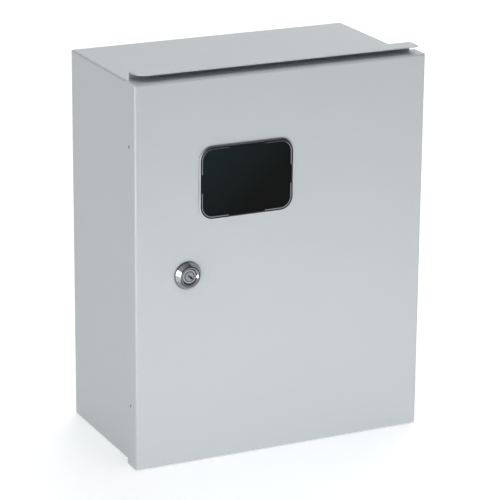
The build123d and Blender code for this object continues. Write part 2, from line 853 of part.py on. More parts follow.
def earth_set(place, length):
    # a stud with a thin nut, a washer and a nut
    stud = place * weld_stud(earth_stud, length)
    disc = place * (Pos(0, 0, earth_jam_nut) * washer(earth_stud))
    lower = hex_nut(earth_stud, nut_flats * earth_stud, earth_jam_nut)
    upper = Pos(0, 0, earth_jam_nut + washer_thickness * earth_stud) * standard_nut(earth_stud)
    return stud, disc, Compound(children=[place * lower, place * upper])


body_earth = along(-half_width + sheet, front + body_earth_setback, bottom + earth_from_bottom, (1, 0, 0))
door_earth = along(door_half - door_earth_from_edge, door_inside, door_bottom + earth_from_bottom, (0, 1, 0))
body_earth_stud, body_earth_washer, body_earth_nuts = earth_set(body_earth, body_earth_length)
door_earth_stud, door_earth_washer, door_earth_nuts = earth_set(door_earth, door_earth_length)

nodes = {
    "body_shell": make_body_shell(),
    "rain_visor": make_rain_visor(),
    "mounting_panel": make_mounting_panel(),
    "panel_studs": make_panel_studs(),
    "panel_spacers": make_panel_spacers(),
    "panel_washers": make_panel_washers(),
    "panel_nuts": make_panel_nuts(),
    "din_rail": make_din_rail(),
    "rail_screws": make_rail_screws(),
    "rail_nuts": make_rail_nuts(),
    "neutral_bar": make_terminal_bar(-bar_centre, holder_height),
    "neutral_holders": make_neutral_holders(),
    "earth_bar": make_terminal_bar(bar_centre, standoff_height),
    "earth_standoffs": make_earth_standoffs(),
    "bar_screws": make_bar_screws(),
    "bar_nuts": make_bar_nuts(),
    "terminal_screws": make_terminal_screws(),
    "gland_plate": make_gland_plate(),
    "gland_gasket": make_gland_gasket(),
    "gland_studs": make_gland_studs(),
    "gland_washers": make_gland_washers(),
    "gland_nuts": make_gland_nuts(),
    "cable_grommets": make_cable_grommets(),
    "body_earth_stud": body_earth_stud,
    "body_earth_washer": body_earth_washer,
    "body_earth_nuts": body_earth_nuts,
    "hinge_body_leaves": make_hinge_body_leaves(),
    "hinge_pins": make_hinge_pins(),
    "door_panel": make_door_panel(),
    "door_gasket": make_door_gasket(),
    "window_pane": make_window_pane(),
    "window_seal": make_window_seal(),
    "hinge_door_leaves": make_hinge_door_leaves(),
    "hinge_screws": make_hinge_screws(),
    "lock_housing": make_lock_housing(),
    "lock_washer": make_lock_washer(),
    "lock_nut": make_lock_nut(),
    "door_earth_stud": door_earth_stud,
    "door_earth_washer": door_earth_washer,
    "door_earth_nuts": door_earth_nuts,
    "lock_cylinder": make_lock_cylinder(),
    "lock_cam": make_lock_cam(),
    "cam_screw": make_cam_screw(),
}

os.makedirs("parts", exist_ok=True)
for name, shape in nodes.items():
    export_step(shape, f"parts/{name}.step")
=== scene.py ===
import math
import bmesh
import bpy
from mathutils import Matrix, Vector, noise


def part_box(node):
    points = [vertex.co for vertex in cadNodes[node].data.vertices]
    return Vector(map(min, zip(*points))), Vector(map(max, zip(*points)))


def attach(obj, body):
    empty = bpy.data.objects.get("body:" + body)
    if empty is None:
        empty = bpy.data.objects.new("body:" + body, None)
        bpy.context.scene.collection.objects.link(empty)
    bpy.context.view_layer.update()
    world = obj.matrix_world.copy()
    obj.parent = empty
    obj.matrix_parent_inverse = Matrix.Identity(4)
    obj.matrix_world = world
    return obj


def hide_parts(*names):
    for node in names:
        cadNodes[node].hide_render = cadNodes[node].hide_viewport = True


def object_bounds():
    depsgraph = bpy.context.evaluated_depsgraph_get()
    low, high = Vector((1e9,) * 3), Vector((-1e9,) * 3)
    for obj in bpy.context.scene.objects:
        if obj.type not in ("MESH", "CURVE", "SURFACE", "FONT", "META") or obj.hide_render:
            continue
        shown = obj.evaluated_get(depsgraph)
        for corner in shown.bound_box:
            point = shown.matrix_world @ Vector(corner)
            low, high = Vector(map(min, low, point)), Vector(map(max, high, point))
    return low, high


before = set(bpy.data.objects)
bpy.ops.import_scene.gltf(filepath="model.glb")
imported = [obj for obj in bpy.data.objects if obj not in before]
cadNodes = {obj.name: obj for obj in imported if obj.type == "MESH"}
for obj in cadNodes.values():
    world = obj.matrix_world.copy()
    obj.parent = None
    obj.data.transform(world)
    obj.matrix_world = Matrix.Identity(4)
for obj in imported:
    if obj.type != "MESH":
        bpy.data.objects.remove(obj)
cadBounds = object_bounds()
print("cabinet loaded:", len(cadNodes), "parts")


# small helpers for shader trees

def newFinish(name):
    # an empty Principled material and the two things every finish below works on
    finish = bpy.data.materials.new(name)
    finish.use_nodes = True
    return finish, finish.node_tree, finish.node_tree.nodes["Principled BSDF"]


def addNode(tree, kind, inputs=None, **settings):
    node = tree.nodes.new("ShaderNode" + kind)
    for key, value in settings.items():
        setattr(node, key, value)
    for key, value in (inputs or {}).items():
        node.inputs[key].default_value = value
    return node


def feed(tree, socket, value):
    # a link where the value comes out of another node, or else a fixed number, vector or colour
    if isinstance(value, bpy.types.NodeSocket):
        tree.links.new(value, socket)
    elif socket.type == "RGBA":
        socket.default_value = (*value, 1.0)
    else:
        socket.default_value = value


def onNumbers(tree, operation, *values):
    step = addNode(tree, "Math", operation=operation)
    for socket, value in zip(step.inputs, values):
        feed(tree, socket, value)
    return step.outputs["Value"]


def onVectors(tree, operation, *values):
    # lengths and dot products come out as a number, the rest as a vector
    step = addNode(tree, "VectorMath", operation=operation)
    for socket, value in zip(step.inputs, values):
        feed(tree, socket, value)
    return step.outputs["Value" if operation in ("LENGTH", "DOT_PRODUCT") else "Vector"]


def objectPlace(tree):
    return addNode(tree, "TexCoord").outputs["Object"]


def axesOf(tree, place):
    parts = addNode(tree, "SeparateXYZ")
    tree.links.new(place, parts.inputs["Vector"])
    return parts.outputs


def grain(tree, place, scale, detail=3.0, roughness=0.55):
    pattern = addNode(tree, "TexNoise", {"Scale": scale, "Detail": detail, "Roughness": roughness})
    tree.links.new(place, pattern.inputs["Vector"])
    return pattern.outputs["Fac"]


def spread(tree, value, low, high, start=0.3, end=0.7):
    # turns a value between start and end, such as a pattern's middle part, into a number between low and high
    ramp = addNode(tree, "MapRange", {"From Min": start, "From Max": end, "To Min": low, "To Max": high})
    tree.links.new(value, ramp.inputs["Value"])
    return ramp.outputs["Result"]


def twoColours(tree, share, first, second):
    # each colour is a fixed one or a link
    mix = addNode(tree, "Mix", data_type="RGBA")
    feed(tree, mix.inputs["A"], first)
    feed(tree, mix.inputs["B"], second)
    tree.links.new(share, mix.inputs["Factor"])
    return mix.outputs["Result"]


def distanceFrom(tree, place, centre, half=(0.0, 0.0), corner=0.0):
    # how far outside a rounded rectangle round centre a point lies, seen from the front;
    # with no size given, how far it lies from the centre
    anyDepth = 10.0
    core = (max(half[0] - corner, 0.0), anyDepth, max(half[1] - corner, 0.0))
    away = onVectors(tree, "ABSOLUTE", onVectors(tree, "SUBTRACT", place, centre))
    clipped = onVectors(tree, "MAXIMUM", onVectors(tree, "SUBTRACT", away, core), (0.0, 0.0, 0.0))
    return onNumbers(tree, "SUBTRACT", onVectors(tree, "LENGTH", clipped), corner)


def bands(tree, distance, reach, stops):
    # a colour for each stretch of a distance from 0 to reach; each stop is (distance, colour)
    ramp = addNode(tree, "ValToRGB")
    points = ramp.color_ramp.elements
    while len(points) < len(stops):
        points.new(0.5)
    for point, (at, colour) in zip(points, stops):
        point.position = at / reach
        point.color = (*colour, 1.0)
    tree.links.new(spread(tree, distance, 0.0, 1.0, 0.0, reach), ramp.inputs["Fac"])
    return ramp.outputs["Color"]


def bumpFrom(tree, shader, height, strength, distance):
    bump = addNode(tree, "Bump", {"Strength": strength, "Distance": distance})
    tree.links.new(height, bump.inputs["Height"])
    tree.links.new(bump.outputs["Normal"], shader.inputs["Normal"])


def dress(finish, *nodeNames):
    for name in nodeNames:
        for slot in cadNodes[name].material_slots:
            slot.material = finish


# In every finish below, roughness has two ends that a pattern moves between, grains, peel cells and
# crystals are counted per metre, and bump is a strength and a depth in metres.

# light grey powder coat on all painted sheet
powderCoat = {
    "colour": (0.482, 0.511, 0.517),
    "colourDeep": (0.470, 0.499, 0.505),
    "cloud": 9.0,
    "peel": 520.0,
    "peelRoughness": 0.45,
    "roughness": (0.40, 0.50),
    "bump": (0.10, 0.00012),
    "specular": 0.42,
}


def makePowderCoat():
    finish, tree, shader = newFinish("greyPowderCoat")
    place = objectPlace(tree)
    cloud = grain(tree, place, powderCoat["cloud"], 2.0)
    tree.links.new(twoColours(tree, cloud, powderCoat["colour"], powderCoat["colourDeep"]),
                   shader.inputs["Base Color"])
    peel = grain(tree, place, powderCoat["peel"], 2.0, powderCoat["peelRoughness"])
    tree.links.new(spread(tree, peel, *powderCoat["roughness"]), shader.inputs["Roughness"])
    bumpFrom(tree, shader, peel, *powderCoat["bump"])
    shader.inputs["Specular IOR Level"].default_value = powderCoat["specular"]
    return finish


# bare zinc-coated sheet of the mounting panel, the rail and the entry plate
galvanisedSheet = {
    "colour": (0.60, 0.62, 0.64),
    "colourDark": (0.46, 0.48, 0.50),
    "spangle": 150.0,
    "grain": 900.0,
    "roughness": (0.36, 0.48),
    "bump": (0.08, 0.00005),
    "metallic": 0.95,
}


def makeGalvanised():
    finish, tree, shader = newFinish("galvanisedSheet")
    place = objectPlace(tree)
    crystals = addNode(tree, "TexVoronoi", {"Scale": galvanisedSheet["spangle"], "Randomness": 1.0})
    tree.links.new(place, crystals.inputs["Vector"])
    tone = addNode(tree, "SeparateColor")
    tree.links.new(crystals.outputs["Color"], tone.inputs["Color"])
    fine = grain(tree, place, galvanisedSheet["grain"], 4.0)
    share = onNumbers(tree, "MULTIPLY", tone.outputs["Red"], fine)
    tree.links.new(twoColours(tree, share, galvanisedSheet["colour"], galvanisedSheet["colourDark"]),
                   shader.inputs["Base Color"])
    tree.links.new(spread(tree, tone.outputs["Green"], *galvanisedSheet["roughness"], 0.0, 1.0),
                   shader.inputs["Roughness"])
    bumpFrom(tree, shader, fine, *galvanisedSheet["bump"])
    shader.inputs["Metallic"].default_value = galvanisedSheet["metallic"]
    return finish


# zinc-plated screws, nuts, washers, studs and hinge leaves, the two bars and the lock's cam
zincPlate = {"colour": (0.66, 0.68, 0.70), "tint": (0.62, 0.61, 0.54), "roughness": (0.22, 0.38),
             "grain": 700.0}
brass = {"colour": (0.74, 0.53, 0.24), "tint": (0.66, 0.45, 0.19), "roughness": (0.24, 0.40),
         "grain": 500.0}
lockSteel = {"colour": (0.36, 0.365, 0.37), "tint": (0.28, 0.285, 0.29), "roughness": (0.10, 0.20),
             "grain": 600.0}
metalSurface = {"patchShare": 0.2, "bump": (0.06, 0.00004)}      # patches are five grains wide


def makeMetal(name, metal):
    finish, tree, shader = newFinish(name)
    place = objectPlace(tree)
    patches = grain(tree, place, metal["grain"] * metalSurface["patchShare"], 2.0)
    tree.links.new(twoColours(tree, patches, metal["colour"], metal["tint"]), shader.inputs["Base Color"])
    fine = grain(tree, place, metal["grain"], 3.0)
    tree.links.new(spread(tree, fine, *metal["roughness"]), shader.inputs["Roughness"])
    bumpFrom(tree, shader, fine, *metalSurface["bump"])
    shader.inputs["Metallic"].default_value = 1.0
    return finish


# moulded and poured parts
bluePlastic = {"colour": (0.015, 0.085, 0.36), "tint": (0.012, 0.07, 0.31), "roughness": (0.36, 0.48),
               "grain": 800.0, "bump": (0.10, 0.00005)}
blackRubber = {"colour": (0.018, 0.018, 0.019), "tint": (0.030, 0.030, 0.031), "roughness": (0.55, 0.72),
               "grain": 700.0, "bump": (0.15, 0.00008)}
foamSeal = {"colour": (0.030, 0.031, 0.033), "tint": (0.060, 0.061, 0.063), "roughness": (0.78, 0.95),
            "grain": 1500.0, "bump": (0.55, 0.00035)}


def makeMoulded(name, stuff):
    finish, tree, shader = newFinish(name)
    fine = grain(tree, objectPlace(tree), stuff["grain"], 4.0, 0.6)
    tree.links.new(twoColours(tree, fine, stuff["colour"], stuff["tint"]), shader.inputs["Base Color"])
    tree.links.new(spread(tree, fine, *stuff["roughness"]), shader.inputs["Roughness"])
    bumpFrom(tree, shader, fine, *stuff["bump"])
    return finish


# the smoked window: dark, with a painted reflection fading from the upper left, and painted highlight lines
# on its moulded edge that painted shade dims along the top
smokedPane = {
    # the upper left colour is a painted reflection, which fades into the dark smoke of the lower right
    "paintedReflectionUpperLeft": (0.0075, 0.0150, 0.0155),
    "lowerRight": (0.0040, 0.0042, 0.0042),
    "reflectionFadeAcross": (8.0, 0.0, -9.0),     # grows to the lower right
    "reflectionFade": (-0.55, 0.25),              # where the painted reflection starts and ends fading, from the middle
    # the edge and inner lines are painted highlights on the lip's rounded edges, dimmed with painted shade at
    # the top; between them the lip is dark smoke
    "edgeLine": (0.62, 0.64, 0.65),
    "edgeAtTop": (0.10, 0.105, 0.11),
    "lipDark": (0.012, 0.013, 0.014),
    "paintedInnerHighlight": (0.24, 0.255, 0.26),
    "innerHighlightDimmedAtTop": (0.050, 0.053, 0.055),
    "highlightDimBand": (0.009, 0.002),          # below the pane's top, where the painted shade that dims the highlight lines begins and is full
    "edgeEnds": (0.00075, 0.00115),     # from here on, distances in from the pane's edge
    "edgeSide": (0.0010, 0.0012),
    "innerStarts": (0.0022, 0.0026),
    "innerEnds": (0.0031, 0.0036),
    "lipEnds": (0.0036, 0.0040),
    "reach": 0.005,
    "lipDepth": (0.0003, 0.0004),       # the painted inner highlight lies only on the lip's own face
    "corner": 0.014,
    "haze": 14.0,
    "roughness": (0.06, 0.09),
    "cover": 0.93,
    "gloss": 0.06,
}


def makeSmoke():
    finish, tree, shader = newFinish("smokedPane")
    place = objectPlace(tree)
    low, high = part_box("window_pane")
    centre = (low + high) / 2
    slope = smokedPane["reflectionFadeAcross"]
    middle = slope[0] * centre.x + slope[2] * centre.z
    # painted reflection: the pane's tint is lighter and teal at the upper left, fading into the dark smoke
    reflectionFade = spread(tree, onVectors(tree, "DOT_PRODUCT", place, slope), 0.0, 1.0,
                  *(middle + share for share in smokedPane["reflectionFade"]))
    tint = twoColours(tree, reflectionFade, smokedPane["paintedReflectionUpperLeft"], smokedPane["lowerRight"])

    outside = distanceFrom(tree, place, centre, ((high.x - low.x) / 2, (high.z - low.z) / 2),
                           smokedPane["corner"])
    depth = onNumbers(tree, "MULTIPLY", outside, -1.0)
    dark = smokedPane["lipDark"]
    edgeEnds, innerStarts, innerEnds = (smokedPane[key] for key in ("edgeEnds", "innerStarts", "innerEnds"))
    # painted highlight lines round the lip, dimmed by painted shade along the pane's top
    rim, dimmedHighlightRim = [
        bands(tree, depth, smokedPane["reach"], [
            (0.0, edge), (edgeEnds[0], edge), (edgeEnds[1], dark), (innerStarts[0], dark),
            (innerStarts[1], inner), (innerEnds[0], inner), (innerEnds[1], dark)])
        for edge, inner in ((smokedPane["edgeLine"], smokedPane["paintedInnerHighlight"]),
                            (smokedPane["edgeAtTop"], smokedPane["innerHighlightDimmedAtTop"]))]
    axes = axesOf(tree, place)
    highlightsDimmedAtTop = spread(tree, axes["Z"], 0.0, 1.0, *(high.z - below for below in smokedPane["highlightDimBand"]))
    highlightLines = twoColours(tree, highlightsDimmedAtTop, rim, dimmedHighlightRim)

    onLip = spread(tree, depth, 1.0, 0.0, *smokedPane["lipEnds"])
    proud = spread(tree, axes["Y"], 1.0, 0.0, *(low.y + behind for behind in smokedPane["lipDepth"]))
    onEdge = spread(tree, depth, 1.0, 0.0, *smokedPane["edgeSide"])
    painted = onNumbers(tree, "MULTIPLY", onLip, onNumbers(tree, "MAXIMUM", proud, onEdge))
    tree.links.new(twoColours(tree, painted, tint, highlightLines), shader.inputs["Base Color"])

    haze = grain(tree, place, smokedPane["haze"], 2.0)
    tree.links.new(spread(tree, haze, *smokedPane["roughness"]), shader.inputs["Roughness"])
    shader.inputs["Alpha"].default_value = smokedPane["cover"]
    shader.inputs["Specular IOR Level"].default_value = smokedPane["gloss"]
    return finish


# the chromed housing of the lock: bright cone, with painted shade at the foot and in the bore, a painted dark
# reflection on the nose and a painted highlight in the mouth
lockChrome = {
    # the foot colour is painted shade along the housing's base
    "foot": (0.030, 0.033, 0.036),
    "cone": (0.40, 0.41, 0.42),
    "noseDarkReflection": (0.085, 0.092, 0.100),
    "mouthHighlight": (0.30, 0.31, 0.32),
    # the bore colour is painted shade in the recess
    "bore": (0.10, 0.105, 0.11),
    "footShadeLine": (0.0017, 0.0015),       # heights above the door where the painted shade at the foot fades in and is full
    "boreEnds": (0.0074, 0.0077),       # radii where one colour ends and the next is full
    "mouthEnds": (0.0089, 0.0093),
    "noseEnds": (0.0103, 0.0108),
    "reach": 0.016,
    "grain": 300.0,
    "roughness": (0.05, 0.12),
    "bump": (0.02, 0.00004),
}


def makeLockChrome():
    finish, tree, shader = newFinish("lockChrome")
    place = objectPlace(tree)
    low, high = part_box("lock_housing")
    # rings by radius: painted shade in the bore, a painted highlight in the mouth, a painted dark reflection
    # on the nose, then the cone
    stops = []
    for ends, inside, outside in (("boreEnds", "bore", "mouthHighlight"), ("mouthEnds", "mouthHighlight", "noseDarkReflection"),
                                  ("noseEnds", "noseDarkReflection", "cone")):
        stops += [(lockChrome[ends][0], lockChrome[inside]), (lockChrome[ends][1], lockChrome[outside])]
    rings = bands(tree, distanceFrom(tree, place, (low + high) / 2), lockChrome["reach"], stops)
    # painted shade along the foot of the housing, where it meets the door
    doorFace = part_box("door_panel")[0].y
    shadeAtFoot = spread(tree, axesOf(tree, place)["Y"], 0.0, 1.0,
                    *(doorFace - height for height in lockChrome["footShadeLine"]))
    tree.links.new(twoColours(tree, shadeAtFoot, rings, lockChrome["foot"]), shader.inputs["Base Color"])
    fine = grain(tree, place, lockChrome["grain"])
    tree.links.new(spread(tree, fine, *lockChrome["roughness"]), shader.inputs["Roughness"])
    bumpFrom(tree, shader, fine, *lockChrome["bump"])
    shader.inputs["Metallic"].default_value = 1.0
    return finish


# the turned face of the keyed core, with painted shade in its groove and a painted highlight on its outer
# ring
lockCore = {
    "middle": (0.24, 0.245, 0.25),
    # the groove colour is painted shade; the edge colour is a painted highlight on the outer ring
    "groove": (0.05, 0.053, 0.056),
    "edge": (0.30, 0.305, 0.31),
    "grooveStarts": (0.0044, 0.0046),   # radii
    "grooveEnds": (0.0053, 0.0055),
    "reach": 0.008,
    "turning": 1500.0,                  # tool marks per metre, seen as fine rings
    "grain": 900.0,
    "roughness": (0.10, 0.24),
    "bump": (0.10, 0.00003),
}


def makeLockCore():
    finish, tree, shader = newFinish("lockCore")
    place = objectPlace(tree)
    low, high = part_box("lock_housing")
    radius = distanceFrom(tree, place, (low + high) / 2)
    starts, ends = lockCore["grooveStarts"], lockCore["grooveEnds"]
    # painted shade in the groove and a painted highlight on the outer ring, by radius
    tree.links.new(bands(tree, radius, lockCore["reach"], [
        (starts[0], lockCore["middle"]), (starts[1], lockCore["groove"]),
        (ends[0], lockCore["groove"]), (ends[1], lockCore["edge"])]), shader.inputs["Base Color"])
    fine = grain(tree, place, lockCore["grain"])
    tree.links.new(spread(tree, fine, *lockCore["roughness"]), shader.inputs["Roughness"])
    turns = onNumbers(tree, "MULTIPLY", radius, lockCore["turning"] * 2 * math.pi)
    bumpFrom(tree, shader, onNumbers(tree, "SINE", turns), *lockCore["bump"])
    shader.inputs["Metallic"].default_value = 1.0
    return finish


greyPaint = makePowderCoat()
galvanised = makeGalvanised()
zinc = makeMetal("zincPlate", zincPlate)
brassBar = makeMetal("brassBar", brass)
chromed = makeLockChrome()
steelCam = makeMetal("lockSteel", lockSteel)
turnedCore = makeLockCore()
blueHolder = makeMoulded("bluePlastic", bluePlastic)
rubber = makeMoulded("blackRubber", blackRubber)
foam = makeMoulded("foamSeal", foamSeal)
smoke = makeSmoke()

dress(greyPaint, "body_shell", "rain_visor", "door_panel")
dress(galvanised, "mounting_panel", "din_rail", "gland_plate")
dress(zinc, "panel_studs", "panel_spacers", "panel_washers", "panel_nuts", "rail_screws", "rail_nuts",
      "earth_standoffs", "bar_screws", "bar_nuts", "terminal_screws", "gland_studs", "gland_washers",
      "gland_nuts", "body_earth_stud", "body_earth_washer", "body_earth_nuts", "hinge_body_leaves",
      "hinge_pins", "hinge_door_leaves", "hinge_screws", "lock_washer", "lock_nut", "door_earth_stud",
      "door_earth_washer", "door_earth_nuts", "cam_screw")
dress(brassBar, "neutral_bar", "earth_bar")
dress(blueHolder, "neutral_holders")
dress(rubber, "cable_grommets", "gland_gasket")
dress(foam, "door_gasket", "window_seal")
dress(smoke, "window_pane")
dress(chromed, "lock_housing")
dress(turnedCore, "lock_cylinder")
dress(steelCam, "lock_cam")
print("finishes on every part")


# small helpers for meshes

sharpAngle = 38.0       # degrees
samePoint = 1e-7
curvePoints = 4         # on each softened corner
cornerSteps = 10        # on each quarter circle of a loop


def newPiece(name, body, finish, slot, shape, *replaced):
    # a finished bmesh becomes a piece that rides on a body of the cabinet
    bmesh.ops.recalc_face_normals(shape, faces=shape.faces)
    mesh = bpy.data.meshes.new(name)
    shape.to_mesh(mesh)
    shape.free()
    mesh.materials.append(finish)
    mesh.shade_smooth()
    mesh.set_sharp_from_angle(angle=math.radians(sharpAngle))
    piece = bpy.data.objects.new(name, mesh)
    bpy.context.scene.collection.objects.link(piece)
    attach(piece, body)
    if replaced:
        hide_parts(*replaced)
    return piece


def softened(outline, radius):
    # the same closed outline with every corner drawn as a small curve
    nearHalf = 0.45     # of a side, so that two curves on it don't meet
    soft = []
    for index, corner in enumerate(outline):
        before, after = Vector(outline[index - 1]), Vector(outline[(index + 1) % len(outline)])
        corner = Vector(corner)
        reachIn = min(radius, (before - corner).length * nearHalf)
        reachOut = min(radius, (after - corner).length * nearHalf)
        start = corner + (before - corner).normalized() * reachIn
        end = corner + (after - corner).normalized() * reachOut
        for step in range(curvePoints):
            t = step / (curvePoints - 1)
            soft.append(start * (1 - t) ** 2 + corner * 2 * t * (1 - t) + end * t ** 2)
    return soft


def joinRings(shape, rings, closed=True):
    # quads between neighbouring rings of as many points each
    count = len(rings)
    for index in range(count if closed else count - 1):
        one, other = rings[index], rings[(index + 1) % count]
        for k in range(len(one)):
            after = (k + 1) % len(one)
            shape.faces.new((one[k], one[after], other[after], other[k]))


def lathe(shape, place, outline, steps):
    # turns a closed outline of radius and height about the place's own Z
    rings = []
    for step in range(steps):
        angle = 2 * math.pi * step / steps
        rings.append([shape.verts.new(place @ Vector((r * math.cos(angle), r * math.sin(angle), z)))
                      for r, z in outline])
    joinRings(shape, rings)
    bmesh.ops.remove_doubles(shape, verts=shape.verts, dist=samePoint)


def roundedLoop(halfWidth, halfHeight, corner, step):
    # points and outward directions round a rectangle with rounded corners, evenly spaced on its sides
    route = []
    for turn in range(4):
        middle = math.radians(90.0 * turn)
        across = halfWidth if turn % 2 == 0 else halfHeight
        along = (halfHeight if turn % 2 == 0 else halfWidth) - corner
        out = Vector((math.cos(middle), math.sin(middle)))
        side = Vector((-out.y, out.x))
        count = max(2, round(2 * along / step))
        for k in range(count):
            route.append((out * across + side * (2 * along * k / count - along), out))
        centre = out * (across - corner) + side * along
        for k in range(cornerSteps):
            angle = middle + math.radians(90.0 * k / cornerSteps)
            spoke = Vector((math.cos(angle), math.sin(angle)))
            route.append((centre + spoke * corner, spoke))
    return route


# one turn of a thread, from crest to root: share of the pitch, share of the depth
threadTurn = ((0.0, 0.0), (0.125, 0.0), (0.4375, 1.0), (0.6875, 1.0))


def threadedRod(shape, place, rod, length, columns=28):
    # each column of points runs up the rod, and one turn round it rises by one pitch
    radius, pitch, depth, lead = (rod[key] for key in ("radius", "pitch", "depth", "lead"))
    flat, bore = rod.get("flat"), rod.get("bore")
    perTurn = len(threadTurn)
    levels = perTurn * (math.ceil(length / pitch) + 2)
    end = radius - depth
    grid = []
    for column in range(columns):
        angle = 2 * math.pi * column / columns
        line = []
        for level in range(-perTurn, levels):
            share, cut = threadTurn[level % perTurn]
            z = pitch * (share + level // perTurn + column / columns)
            r = radius - depth * cut
            if z <= 0 or z >= length:
                r = min(r, end - (lead if z >= length else 0.0))
            r = min(r, end - lead + (length - z)) if z < length else r
            z = min(max(z, 0.0), length)
            x = r * math.cos(angle)
            if flat:
                x = min(max(x, -flat), flat)
            line.append(shape.verts.new(place @ Vector((x, r * math.sin(angle), z))))
        grid.append(line)
    rise = len(grid[0])
    for column in range(columns):
        # the last column meets the first one a whole turn higher
        wrap = perTurn if column == columns - 1 else 0
        beside = grid[(column + 1) % columns]
        for k in range(rise - 1 - wrap):
            shape.faces.new((grid[column][k], beside[k + wrap], beside[k + 1 + wrap], grid[column][k + 1]))
    first = [line[0].co.copy() for line in grid]
    last = [line[-1].co.copy() for line in grid]
    if bore:
        inner = [[shape.verts.new(place @ Vector((bore * math.cos(2 * math.pi * c / columns),
                                                  bore * math.sin(2 * math.pi * c / columns), z)))
                  for c in range(columns)] for z in (0.0, length)]
        rims = [[shape.verts.new(point) for point in ring] for ring in (first, last)]
        joinRings(shape, [rims[0], inner[0], inner[1], rims[1]], closed=False)
    else:
        for ring in (first, last):
            shape.faces.new([shape.verts.new(point) for point in ring])
    bmesh.ops.remove_doubles(shape, verts=shape.verts, dist=samePoint)
    bmesh.ops.dissolve_degenerate(shape, edges=shape.edges, dist=samePoint)


def mirroredPlaces(low, high, radius):
    # the four corners of a box, a radius in from its sides
    return [(x, y) for x in (low[0] + radius, high[0] - radius) for y in (low[1] + radius, high[1] - radius)]


# cut threads of the weld studs, 6 mm and 5 mm across; lead is the chamfer at the tip
thickStud = {"radius": 0.0030, "pitch": 0.0010, "depth": 0.00055, "lead": 0.0006}
thinStud = {"radius": 0.0025, "pitch": 0.0008, "depth": 0.00045, "lead": 0.0005}
# a rod's own Z turned to the front, the rear and the right
towardsFront = Matrix.Rotation(math.radians(90.0), 4, "X")
towardsRear = Matrix.Rotation(math.radians(-90.0), 4, "X")
towardsRight = Matrix.Rotation(math.radians(90.0), 4, "Y")


def studPiece(name, body, node, stud, length, places):
    shape = bmesh.new()
    for place in places:
        threadedRod(shape, place, stud, length)
    newPiece(name, body, zinc, "zinc_steel", shape, node)


def makeStuds():
    low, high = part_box("panel_studs")
    studPiece("panelStudThreads", "cabinet", "panel_studs", thickStud, high.y - low.y,
              [Matrix.Translation((x, high.y, z)) @ towardsFront
               for x, z in mirroredPlaces((low.x, low.z), (high.x, high.z), thickStud["radius"])])

    low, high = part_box("gland_studs")
    studPiece("entryStudThreads", "cabinet", "gland_studs", thinStud, high.z - low.z,
              [Matrix.Translation((x, y, low.z))
               for x, y in mirroredPlaces((low.x, low.y), (high.x, high.y), thinStud["radius"])])

    low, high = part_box("body_earth_stud")
    foot = Matrix.Translation((low.x, (low.y + high.y) / 2, (low.z + high.z) / 2))
    studPiece("bodyEarthThread", "cabinet", "body_earth_stud", thickStud, high.x - low.x,
              [foot @ towardsRight])

    low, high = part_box("door_earth_stud")
    foot = Matrix.Translation(((low.x + high.x) / 2, low.y, (low.z + high.z) / 2))
    studPiece("doorEarthThread", "door", "door_earth_stud", thickStud, high.y - low.y,
              [foot @ towardsRear])


# the thread of the lock's barrel, from behind its nut nearly to the end
barrelThread = {
    "radius": 0.0100,
    "pitch": 0.0012,
    "depth": 0.0006,
    "lead": 0.0003,
    "flat": 0.0086,         # half the distance across the flats
    "bore": 0.0070,
    "columns": 64,
    "behindNut": 0.0002,
    "shorter": 0.0010,      # than what stands behind the nut
}


def makeBarrelThread():
    low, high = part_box("lock_housing")
    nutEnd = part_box("lock_nut")[1].y
    start = Matrix.Translation(((low.x + high.x) / 2, nutEnd + barrelThread["behindNut"],
                                (low.z + high.z) / 2))
    shape = bmesh.new()
    threadedRod(shape, start @ towardsRear, barrelThread, high.y - nutEnd - barrelThread["shorter"],
                barrelThread["columns"])
    newPiece("lockBarrelThread", "door", chromed, "chrome", shape)


# the foam bead poured round the inside of the door
foamBead = {
    "width": 0.0100,
    "corner": 0.0086,       # of the bead's middle line
    "step": 0.005,          # between its rings of points
    "crownSteps": 16,
    "dome": 2.5,            # how square the crown is
    "wobble": 0.00016,      # how unevenly the foam has risen
    "waves": 90.0,
    "pore": 0.00005,        # depth of the pores in the skin
    "poreScale": 420.0,
    "poreReach": 0.004,
    "spare": 0.0002,        # kept back at the sides
    "jointRise": 0.00025,   # where the pour ends on its own start
    "jointRing": 8,
    "jointLength": 2.5,     # in rings
}


def makeFoamBead():
    low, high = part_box("door_gasket")
    centre = (low + high) / 2
    half = foamBead["width"] / 2
    route = roundedLoop((high.x - low.x) / 2 - half, (high.z - low.z) / 2 - half, foamBead["corner"],
                        foamBead["step"])
    rise = high.y - low.y - foamBead["jointRise"]
    poreReach = foamBead["poreReach"]
    shape = bmesh.new()
    rings = []
    for index, (point, out) in enumerate(route):
        swell = noise.noise(Vector((point.x, point.y, 0.0)) * foamBead["waves"]) * foamBead["wobble"]
        fromJoint = (index - foamBead["jointRing"]) / foamBead["jointLength"]
        joint = foamBead["jointRise"] * math.exp(-(fromJoint ** 2))
        ring = []
        for k in range(foamBead["crownSteps"] + 1):
            u = math.cos(math.pi * k / foamBead["crownSteps"])
            v = (1.0 - abs(u) ** foamBead["dome"]) ** (1.0 / foamBead["dome"])
            skin = Vector((point.x + u * poreReach, point.y, v * poreReach))
            rough = noise.noise(skin * foamBead["poreScale"]) * foamBead["pore"]
            reach = u * (half - abs(swell) - foamBead["spare"]) + rough
            height = v * (rise + swell - abs(rough) - foamBead["wobble"] + joint)
            spot = point + out * reach
            ring.append(shape.verts.new((centre.x + spot.x, low.y + max(height, 0.0), centre.z + spot.y)))
        rings.append(ring)
    joinRings(shape, rings)
    bead = newPiece("doorFoamBead", "door", foam, "foam_gasket", shape, "door_gasket")


